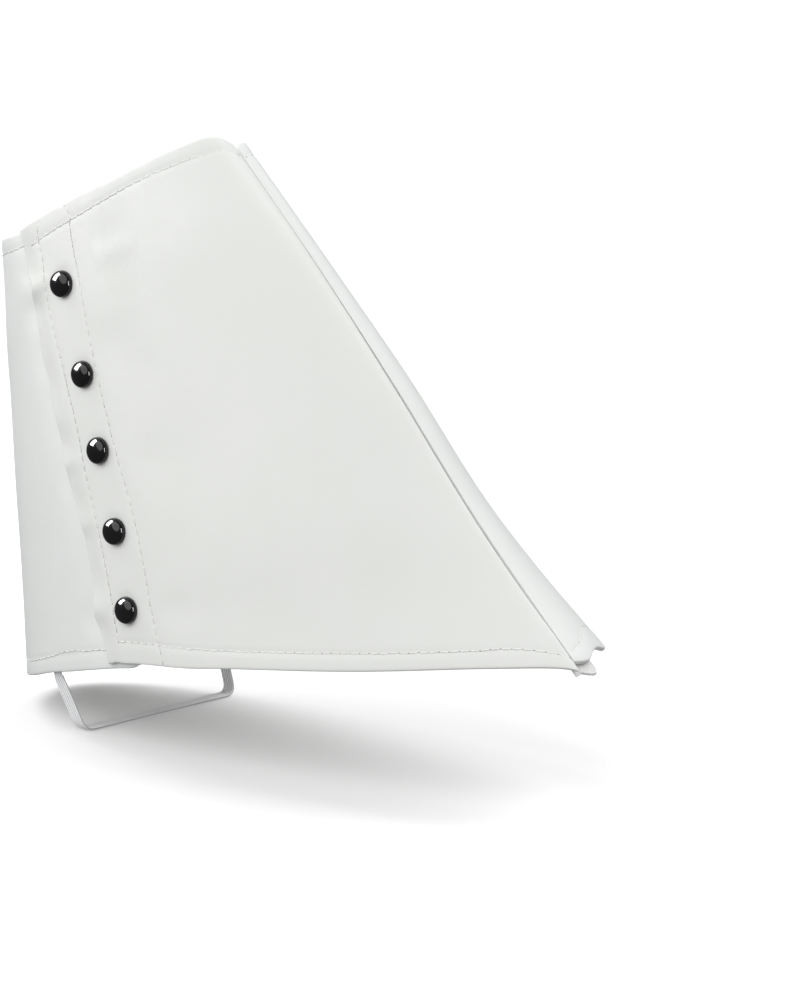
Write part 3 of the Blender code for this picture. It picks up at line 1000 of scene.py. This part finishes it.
def to_packed():
    """The matrix from foot space, in millimetres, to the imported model's metres."""
    return Matrix.Scale(MM, 4) @ Matrix.Translation(-Vector(ANKLE))


def set_caps():
    one, caps = model_cap(), []
    for number, button in enumerate(BUTTONS, 1):
        level = np.array([button.level])
        share = share_at(-smooth_edge(level) - button.from_edge, level)
        out = unit(on_net(NET_OUT, share, level))[0]
        seat = on_net(NET, share, level)[0] + out * (LAP_LIFT * lapped(button.from_edge) + BUTTON_GAP)
        turned = Matrix.Rotation(math.radians(button.turn), 3, "Z") @ Vector(out)
        mesh = one.data.copy()
        mesh.transform(to_packed() @ facing(seat, turned, (1, 0, 0)))
        caps.append(add_piece(f"button_cap_{number}", mesh))
    bpy.data.objects.remove(one)
    return caps


caps = set_caps()

# %% [markdown]
# ## Thread
#
# The spat is sewn with white thread in long lockstitches. Each stitch is a short arched length of thread
# that sinks into the cloth at both ends, and at each end the needle has left a small hole. The shade inside
# each hole is painted: a small dark disc lies on the cloth there. There are hundreds, so one stitch and one
# disc are modelled with few faces, and copies of them are set along the rows, each turned to the cloth, with
# a little of a hand-fed machine's unevenness. An array along a curve would set them too, but not at places
# that are measured in the cloth.

# %% Model one stitch and one needle hole
THREAD_RADIUS = 0.17
STITCH_GAP = 0.6
STITCH_MIDDLE = 0.56
ARCH = 0.14
# How far a stitch goes on at each end of its middle, how far it drops there, and how it narrows.
StitchEnd = namedtuple("StitchEnd", "reach drop narrow")
STITCH_ENDS = (StitchEnd(0.15, -ARCH / 2, 0.85), StitchEnd(0.07, -ARCH, 0.4))
HOLE_RADIUS = 0.22
HOLE_LENGTH = 1.9
HOLE_RELIEF = 0.05
HOLE_MOUTH = 0.6


def select_faces(piece, test):
    """Selects the faces of a piece in edit mode that pass a test of their middle and normal."""
    shape = bmesh.from_edit_mesh(piece.data)
    for face in shape.faces:
        face.select_set(test(face.calc_center_median(), face.normal))
    bmesh.update_edit_mesh(piece.data)


def model_stitch():
    """A stitch 1 mm long, lying along X, in millimetres."""
    bpy.ops.object.select_all(action="DESELECT")
    bpy.ops.mesh.primitive_cylinder_add(
        vertices=6, radius=THREAD_RADIUS, depth=STITCH_MIDDLE, rotation=(0, math.pi / 2, 0)
    )
    stitch = bpy.context.active_object
    bpy.ops.object.transform_apply(rotation=True)
    bpy.ops.object.mode_set(mode="EDIT")
    for end in (-1, 1):
        for part in STITCH_ENDS:
            bpy.ops.mesh.select_all(action="DESELECT")
            points = bmesh.from_edit_mesh(stitch.data).verts
            edge = max(point.co.x * end for point in points)
            select_faces(stitch, lambda middle, out: middle.x * end > edge - 0.001 and out.x * end > 0.5)
            move = (part.reach * end, 0, part.drop)
            bpy.ops.mesh.extrude_region_move(TRANSFORM_OT_translate={"value": move})
            bpy.ops.transform.resize(value=(1, part.narrow, part.narrow))
    bpy.ops.object.mode_set(mode="OBJECT")
    stitch.data.shade_smooth()
    return stitch


def model_hole():
    """A small dark disc that paints the shade inside a needle hole, facing +Z, in millimetres."""
    bpy.ops.object.select_all(action="DESELECT")
    bpy.ops.mesh.primitive_circle_add(vertices=7, radius=HOLE_RADIUS, fill_type="NGON")
    hole = bpy.context.active_object
    bpy.ops.object.mode_set(mode="EDIT")
    bpy.ops.mesh.select_all(action="SELECT")
    bpy.ops.mesh.extrude_region_move(TRANSFORM_OT_translate={"value": (0, 0, HOLE_RELIEF)})
    bpy.ops.transform.resize(value=(HOLE_MOUTH, HOLE_MOUTH, 1))
    bpy.ops.object.mode_set(mode="OBJECT")
    hole.data.shade_smooth()
    return hole


def copies(name, shape, places):
    """One piece made of copies of a shape, each put in its place by a matrix."""
    points = np.array([vertex.co for vertex in shape.data.vertices])
    polygons = [list(polygon.vertices) for polygon in shape.data.polygons]
    all_points, all_polygons = [], []
    for number, place in enumerate(places):
        turn = np.array(place)
        all_points.append(points @ turn[:3, :3].T + turn[:3, 3])
        all_polygons += [[vertex + number * len(points) for vertex in polygon] for polygon in polygons]
    mesh = bpy.data.meshes.new(name)
    mesh.from_pydata(to_frame(np.concatenate(all_points)).tolist(), [], all_polygons)
    print(name, "has", len(places), "copies")
    return add_piece(name, mesh)


# %% Rows of holes on the quarters
# A hole is out of its row by about this much, in millimetres, and by a share of it along the row.
HOLE_JITTER = 0.1
ALONG_JITTER = 0.6
# The lap is about this high where its rows run, and this much longer than the cloth at the heel.
LAP_HEIGHT = 146.0
LAP_OVER_HEEL = 12.0
jitter = np.random.default_rng(7)


def holes_along(cut, lift_of, across_of, up_of, count):
    """Points on the outside and the inside of a quarter at the holes of one row, and the way out there."""
    wobble = jitter.normal(0, HOLE_JITTER, count)
    spot = settle(
        cut,
        lambda width: across_of(width) + wobble * ALONG_JITTER,
        lambda height: up_of(height) + wobble,
        (count,),
    )
    outside, inside = skins(spot, lift_of(spot), wall_at(spot, np.ones(count)))
    return outside, inside, unit(on_net(NET_OUT, spot.share, spot.level))


def lap_row(field, start, end):
    """A row down the lap, between two heights above the hem and below the rim."""
    count = round((CLIMB[-1, NET_STEPS] + LAP_OVER_HEEL - start - end) / PITCH)
    up_of = lambda height: start + (height - start - end) * np.linspace(0, 1, count)
    level = up_of(LAP_HEIGHT) / LAP_HEIGHT
    across = column_at(LAP_ROWS, field, level) + smooth_edge(level) - edge_from_heel(level)
    return holes_along(outer_cut, outer_lift, lambda width: across, up_of, count)


def edge_row(cut, lift_of, rows, field, start, end):
    """A row along the hem or the rim, between two distances across."""
    length = float(cut.width(0.0 if field == "from_hem" else 1.0))
    count = round((length - start - end) / PITCH)
    places = np.linspace(0, 1, count)

    def up_of(height):
        distance = column_at(rows, field, start + (length - start - end) * places)
        return distance if field == "from_hem" else height - distance

    return holes_along(cut, lift_of, lambda width: start + (width - start - end) * places, up_of, count)


def inner_row(field):
    return edge_row(inner_cut, inner_lift, INNER_EDGE_ROWS, field, 1.5, UNDERLAP + 1)


ROWS = {
    "lap_first": lap_row("first", 7.2, 1.6),
    "lap_second": lap_row("second", 0.9, 1.2),
    "outer_hem": edge_row(outer_cut, outer_lift, EDGE_ROWS, "from_hem", HEM_ROW_START, 1.2),
    "outer_rim": edge_row(outer_cut, outer_lift, EDGE_ROWS, "from_rim", RIM_ROW_START, 1.2),
    "inner_hem": inner_row("from_hem"),
    "inner_rim": inner_row("from_rim"),
}
print("Holes in each row:", {name: len(row[0]) for name, row in ROWS.items()})

# %% Set stitches and holes along the rows
THREAD_RAISE = 0.35
HOLE_SINK = 0.02


def stretched(length):
    """A matrix that makes a piece longer along X."""
    return Matrix.Diagonal((length, 1, 1, 1))


def stitch_places(holes, outs, side):
    """A matrix for each stitch between two holes, on the outside or, for side -1, the inside."""
    places = []
    for near, far, out in zip(holes, holes[1:], (outs[:-1] + outs[1:]) * side):
        run = Vector(far) - Vector(near)
        raised = Vector(out).normalized() * THREAD_RADIUS * THREAD_RAISE
        middle = (Vector(near) + Vector(far)) / 2 + raised
        places.append(facing(middle, out, run) @ stretched(run.length - STITCH_GAP))
    return places


one_stitch, one_hole = model_stitch(), model_hole()
stitch_matrices, hole_matrices = [], []
for outside, inside, outs in ROWS.values():
    stitch_matrices += stitch_places(outside, outs, 1)
    for hole, out, run in zip(outside, outs, np.gradient(outside, axis=0)):
        hole_matrices.append(facing(hole - out * HOLE_SINK, out, run) @ stretched(HOLE_LENGTH))
for name in ("outer_hem", "outer_rim", "inner_hem", "inner_rim"):
    stitch_matrices += stitch_places(ROWS[name][1], ROWS[name][2], -1)
stitches = copies("stitches", one_stitch, stitch_matrices)
needle_holes = copies("needle_holes", one_hole, hole_matrices)
bpy.data.objects.remove(one_stitch)
bpy.data.objects.remove(one_hole)

# %% [markdown]
# ## Finishes
#
# The cloth is a knit with a matt white plastic coat. Its grain is so fine that it only softens the
# highlights, and slow changes in the coat's thickness make broad patches a little warmer or cooler. Two
# shader groups carry what several finishes share: the relief and mottling of a coat, and the relief of a
# knit or braid. Each finish then has its own colour, gloss and scale. The coat reads Object coordinates, so
# that it flows on over a seam, and the knit reads the cloth's UV map, because it has to follow the cloth.

# %% Shared effects as node groups
def new_group(name, inputs, outputs):
    """An empty shader group with float, vector or colour sockets."""
    group = bpy.data.node_groups.new(name, "ShaderNodeTree")
    for socket, kind, default in inputs:
        made = group.interface.new_socket(name=socket, in_out="INPUT", socket_type=kind)
        if default is not None:
            made.default_value = default
    for socket in outputs:
        group.interface.new_socket(name=socket, in_out="OUTPUT", socket_type="NodeSocketFloat")
    return group, group.nodes.new("NodeGroupInput"), group.nodes.new("NodeGroupOutput")


def noise(tree, vector, scale, detail):
    """A Noise texture. Its scale is in waves for each metre."""
    node = tree.nodes.new("ShaderNodeTexNoise")
    node.inputs["Scale"].default_value = scale
    node.inputs["Detail"].default_value = detail
    tree.links.new(vector, node.inputs["Vector"])
    return node


def math_node(tree, operation, first, second=0.0):
    """A Math node whose two inputs are numbers or other nodes' sockets."""
    node = tree.nodes.new("ShaderNodeMath")
    node.operation = operation
    for socket, value in zip(node.inputs, (first, second)):
        if isinstance(value, (int, float)):
            socket.default_value = value
        else:
            tree.links.new(value, socket)
    return node.outputs[0]


def coat_group():
    """Relief of a plastic or enamel coat: fine grain over a slow ripple, and mottling in broad patches."""
    sockets = (
        ("Vector", "NodeSocketVector", None),
        ("Grain", "NodeSocketFloat", 1.0),
        ("Ripple", "NodeSocketFloat", 1.0),
    )
    group, given, out = new_group("coat_surface", sockets, ("Height", "Mottle", "Scuff"))
    place = given.outputs["Vector"]
    grain = noise(group, place, scale=1500, detail=3)
    ripple = noise(group, place, scale=160, detail=2)
    patches = noise(group, place, scale=28, detail=2)
    scuff = noise(group, place, scale=420, detail=6)
    fine = math_node(group, "MULTIPLY", grain.outputs["Fac"], given.outputs["Grain"])
    slow = math_node(group, "MULTIPLY", ripple.outputs["Fac"], given.outputs["Ripple"])
    group.links.new(math_node(group, "ADD", fine, slow), out.inputs["Height"])
    group.links.new(patches.outputs["Fac"], out.inputs["Mottle"])
    group.links.new(scuff.outputs["Fac"], out.inputs["Scuff"])
    return group


def knit_group():
    """Relief of a knit or braid, from a UV map in metres: ribs across U, crossed by courses up V."""
    sockets = (
        ("Vector", "NodeSocketVector", None),
        ("Ribs", "NodeSocketFloat", 900),
        ("Courses", "NodeSocketFloat", 1100),
    )
    group, given, out = new_group("knit_surface", sockets, ("Height", "Shade"))
    axes = group.nodes.new("ShaderNodeSeparateXYZ")
    group.links.new(given.outputs["Vector"], axes.inputs[0])
    waves = []
    for axis, count in (("X", "Ribs"), ("Y", "Courses")):
        turns = math_node(group, "MULTIPLY", axes.outputs[axis], given.outputs[count])
        waves.append(math_node(group, "SINE", math_node(group, "MULTIPLY", turns, 2 * math.pi)))
    loops = math_node(group, "MULTIPLY", waves[0], waves[1])
    ribs = math_node(group, "MULTIPLY", waves[0], 0.5)
    fuzz = noise(group, given.outputs["Vector"], scale=2600, detail=4)
    height = math_node(group, "ADD", math_node(group, "ADD", loops, ribs), fuzz.outputs["Fac"])
    group.links.new(height, out.inputs["Height"])
    group.links.new(fuzz.outputs["Fac"], out.inputs["Shade"])
    return group


COAT = coat_group()
KNIT = knit_group()
print("Groups:", [group.name for group in (COAT, KNIT)])

# %% Parts that the finishes share
# Noise stays near its middle, so only this part of a mask is used.
MASK_LOW = 0.3
MASK_HIGH = 0.7


def finish(name, roughness, specular=0.5):
    """An empty finish with its plain values set, and its shader."""
    material = bpy.data.materials.new(name)
    material.use_nodes = True
    shader = material.node_tree.nodes["Principled BSDF"]
    shader.inputs["Roughness"].default_value = roughness
    shader.inputs["Specular IOR Level"].default_value = specular
    return material, material.node_tree, shader


def placed_group(tree, group, coordinates, **values):
    """A group in a finish, fed by Object or UV coordinates."""
    node = tree.nodes.new("ShaderNodeGroup")
    node.node_tree = group
    place = tree.nodes.new("ShaderNodeTexCoord")
    tree.links.new(place.outputs[coordinates], node.inputs["Vector"])
    for socket, value in values.items():
        node.inputs[socket].default_value = value
    return node


def mixed_colour(tree, factor, low, high):
    """Two colours mixed by a mask. The middle part of the mask is stretched over the whole mix."""
    ramp = tree.nodes.new("ShaderNodeValToRGB")
    for stop, place, colour in zip(ramp.color_ramp.elements, (MASK_LOW, MASK_HIGH), (low, high)):
        stop.position, stop.color = place, (*colour, 1)
    tree.links.new(factor, ramp.inputs["Fac"])
    return ramp.outputs["Color"]


def spread_value(tree, factor, low, high):
    """A mask's middle part as a number between two values."""
    node = tree.nodes.new("ShaderNodeMapRange")
    ends = {"From Min": MASK_LOW, "From Max": MASK_HIGH, "To Min": low, "To Max": high}
    for socket, value in ends.items():
        node.inputs[socket].default_value = value
    tree.links.new(factor, node.inputs["Value"])
    return node.outputs["Result"]


def add_bump(tree, shader, height, strength, distance):
    """Feeds a height through a Bump node to the shader. The distance is in metres."""
    bump_node = tree.nodes.new("ShaderNodeBump")
    bump_node.inputs["Strength"].default_value = strength
    bump_node.inputs["Distance"].default_value = distance
    tree.links.new(height, bump_node.inputs["Height"])
    tree.links.new(bump_node.outputs["Normal"], shader.inputs["Normal"])


# %% Finishes made from the groups
def coated_cloth(name, low, high):
    """Matt white plastic on a knit, in two close whites."""
    material, tree, shader = finish(name, 0.58, 0.3)
    coat = placed_group(tree, COAT, "Object", Grain=0.5, Ripple=1.0)
    tree.links.new(mixed_colour(tree, coat.outputs["Mottle"], low, high), shader.inputs["Base Color"])
    tree.links.new(spread_value(tree, coat.outputs["Scuff"], 0.52, 0.66), shader.inputs["Roughness"])
    add_bump(tree, shader, coat.outputs["Height"], 0.35, 0.00012)
    return material


def knitted(name, low, high, ribs, courses, distance):
    """The bare knit, as it shows on the inside."""
    material, tree, shader = finish(name, 0.9, 0.25)
    knit = placed_group(tree, KNIT, "UV", Ribs=ribs, Courses=courses)
    tree.links.new(mixed_colour(tree, knit.outputs["Shade"], low, high), shader.inputs["Base Color"])
    shader.inputs["Sheen Weight"].default_value = 0.15
    add_bump(tree, shader, knit.outputs["Height"], 0.6, distance)
    return material


def ribbed(name, groove_shade, braid, ribs):
    """A knit with white ribs and grey painted shade in the grooves between them."""
    material, tree, shader = finish(name, 0.8, 0.25)
    knit = placed_group(tree, KNIT, "UV", Ribs=2200, Courses=1500)
    place = tree.nodes.new("ShaderNodeTexCoord")
    axes = tree.nodes.new("ShaderNodeSeparateXYZ")
    tree.links.new(place.outputs["UV"], axes.inputs[0])
    turns = math_node(tree, "MULTIPLY", axes.outputs["X"], ribs * math.pi)
    wave = math_node(tree, "ABSOLUTE", math_node(tree, "COSINE", turns))
    rib = math_node(tree, "POWER", wave, 0.6)
    # Where the rib mask is low, in the grooves, the colour is the grey of painted shade.
    tree.links.new(mixed_colour(tree, rib, groove_shade, braid), shader.inputs["Base Color"])
    add_bump(tree, shader, knit.outputs["Height"], 0.6, 0.00012)
    return material


def enamel(name, low, high):
    """Gloss enamel with a thin clear coat and the faintest ripple."""
    material, tree, shader = finish(name, 0.08, 0.3)
    shader.inputs["Coat Weight"].default_value = 0.25
    shader.inputs["Coat Roughness"].default_value = 0.05
    coat = placed_group(tree, COAT, "Object", Grain=0.05, Ripple=0.6)
    tree.links.new(mixed_colour(tree, coat.outputs["Mottle"], low, high), shader.inputs["Base Color"])
    tree.links.new(spread_value(tree, coat.outputs["Scuff"], 0.06, 0.16), shader.inputs["Roughness"])
    add_bump(tree, shader, coat.outputs["Height"], 0.12, 0.0001)
    return material


def thread_and_hole_shade(name, colour, roughness):
    """Spun thread, and also the dark painted shade of the needle holes."""
    material, tree, shader = finish(name, roughness, 0.3)
    coat = placed_group(tree, COAT, "Object", Grain=1.0, Ripple=0.0)
    darker = tuple(value * 0.86 for value in colour)
    tree.links.new(mixed_colour(tree, coat.outputs["Scuff"], darker, colour), shader.inputs["Base Color"])
    add_bump(tree, shader, coat.outputs["Height"], 0.5, 0.0001)
    return material


# %% Give every piece its finish
# The two quarters are one cloth. The outer's slightly yellower white and the inner's slightly bluer white are
# painted light: the warm front light on the outer side, and the cool light from the left and behind on the
# heel and underlap.
outer_white = coated_cloth("outer_coated_cloth", (0.715, 0.728, 0.700), (0.735, 0.745, 0.722))
inner_white = coated_cloth("inner_coated_cloth", (0.712, 0.730, 0.716), (0.732, 0.747, 0.735))
backing = knitted("knitted_backing", (0.80, 0.80, 0.79), (0.86, 0.86, 0.85), 900, 1200, 0.00015)
ribs_a_metre = STRAP_RIBS / (STRAP_WIDTH * MM)
# The elastic's grey lines are painted shade in the grooves between its ribs.
elastic = ribbed("braided_elastic", (0.42, 0.43, 0.46), (0.95, 0.95, 0.96), ribs_a_metre)
black_enamel = enamel("black_enamel", (0.006, 0.006, 0.007), (0.011, 0.011, 0.012))
thread = thread_and_hole_shade("white_thread", (0.80, 0.80, 0.78), 0.7)
# Painted shade: the needle holes are small discs in this dark grey, standing in for the shade inside each
# hole.
hole_shade = thread_and_hole_shade("needle_hole_shade", (0.30, 0.30, 0.29), 0.9)

for piece, finishes in (
    (outer_quarter, (outer_white, backing)),
    (inner_quarter, (inner_white, backing)),
    (seam_allowance, (backing, backing)),
    (under_strap, (elastic,)),
    (stitches, (thread,)),
    (needle_holes, (hole_shade,)),
    *((cap, (black_enamel,)) for cap in caps),
):
    for material in finishes:
        piece.data.materials.append(material)
    print(piece.name, "is finished in", [material.name for material in finishes])

# %% [markdown]
# ## How the pieces stand for the imported ones
#
# The spat has no joints, so all of it rides on one body. Each piece replaces the CAD node that holds its
# place, and the thread and its holes, which have no node, only ride.

# %% Bodies and replaced nodes
STANDS_FOR = (
    (outer_quarter, "outer_quarter", "coated_cloth"),
    (inner_quarter, "inner_quarter", "coated_cloth"),
    (seam_allowance, "front_seam_allowance", "backing"),
    (under_strap, "under_strap", "elastic"),
    *((cap, f"button_{number}", "black_enamel") for number, cap in enumerate(caps, 1)),
)
for piece, node, slot in STANDS_FOR:
    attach(piece, "root")
    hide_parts(node)
for piece in (stitches, needle_holes):
    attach(piece, "root")

# %% [markdown]
# ## Floor and light
#
# The photograph has the look of a white tent, so the floor is plain and pale and the light comes from all
# round. Three wide suns stand for the tent's lit walls, in front, to the left and behind, and a small panel
# makes the top of the back a little brighter. The black caps need something to mirror, so a window and a side
# panel are seen in reflections only, and the tent itself is dimmer there, as the gap round a camera is. The
# floor is kept out of bounced light and reflections, because a white floor would light the cloth from below
# and wash out its shading.

# %% The floor
FLOOR_BELOW_STRAP = 0.0001
FLOOR_SIZE = 30.0
bpy.ops.object.select_all(action="DESELECT")
floor_height = CAD_BOX[0][2] - FLOOR_BELOW_STRAP
bpy.ops.mesh.primitive_plane_add(size=FLOOR_SIZE, location=(0, 0, floor_height))
floor = bpy.context.active_object
floor.name = "floor"
floor_finish, _, floor_shader = finish("pale_floor", 0.9, 0.1)
floor_shader.inputs["Base Color"].default_value = (0.95, 0.95, 0.95, 1)
floor.data.materials.append(floor_finish)
floor.visible_diffuse = False
floor.visible_glossy = False


# %% Lights round the spat
TENT_WALL_DISC = math.radians(60)
TENT_WALL_DISTANCE = 2.0


def aim(light, azimuth, elevation, distance):
    """Puts a light round the spat and turns it to the spat. Azimuth 0 is in front of the outer side."""
    a, e = math.radians(azimuth), math.radians(elevation)
    back = Vector((math.sin(a) * math.cos(e), -math.cos(a) * math.cos(e), math.sin(e)))
    light.location = back * distance
    light.rotation_euler = (-back).to_track_quat("-Z", "Y").to_euler()
    bpy.context.scene.collection.objects.link(light)


def tent_wall(name, azimuth, elevation, power):
    """A sun with a wide disc."""
    data = bpy.data.lights.new(name, "SUN")
    data.energy, data.angle = power, TENT_WALL_DISC
    aim(bpy.data.objects.new(name, data), azimuth, elevation, TENT_WALL_DISTANCE)


def panel(name, shape, size, power, azimuth, elevation, distance):
    """A flat light of a width and a height, facing the spat."""
    data = bpy.data.lights.new(name, "AREA")
    data.shape, data.energy = shape, power
    data.size, data.size_y = size
    light = bpy.data.objects.new(name, data)
    aim(light, azimuth, elevation, distance)
    return light


tent_wall("front_tent_wall", 10, 37, 1.68)
tent_wall("left_tent_wall", -48, 50, 0.46)
tent_wall("back_tent_wall", 162, 50, 1.86)
upper_back = panel("upper_back_panel", "DISK", (0.2, 0.2), 0.42, -87, 45, 0.36)
upper_back.visible_glossy = False
for mirrored in (
    panel("window", "RECTANGLE", (0.42, 0.62), 30.0, -50, 31, 0.9),
    panel("side_panel", "RECTANGLE", (0.09, 0.5), 6.0, 70, 14, 1.0),
):
    mirrored.visible_diffuse = False

# %% The world, dimmer in reflections
WORLD_STRENGTH = 0.40
WORLD_IN_REFLECTIONS = 0.12
world = bpy.data.worlds.new("white_tent")
world.use_nodes = True
sky = world.node_tree.nodes["Background"]
sky.inputs["Color"].default_value = (1.0, 1.0, 1.0, 1)
ray = world.node_tree.nodes.new("ShaderNodeLightPath")
dimmer = world.node_tree.nodes.new("ShaderNodeMapRange")
dimmer.inputs["To Min"].default_value = WORLD_STRENGTH
dimmer.inputs["To Max"].default_value = WORLD_IN_REFLECTIONS
world.node_tree.links.new(ray.outputs["Is Glossy Ray"], dimmer.inputs["Value"])
world.node_tree.links.new(dimmer.outputs["Result"], sky.inputs["Strength"])
bpy.context.scene.world = world
bpy.context.scene.view_settings.view_transform = "Standard"
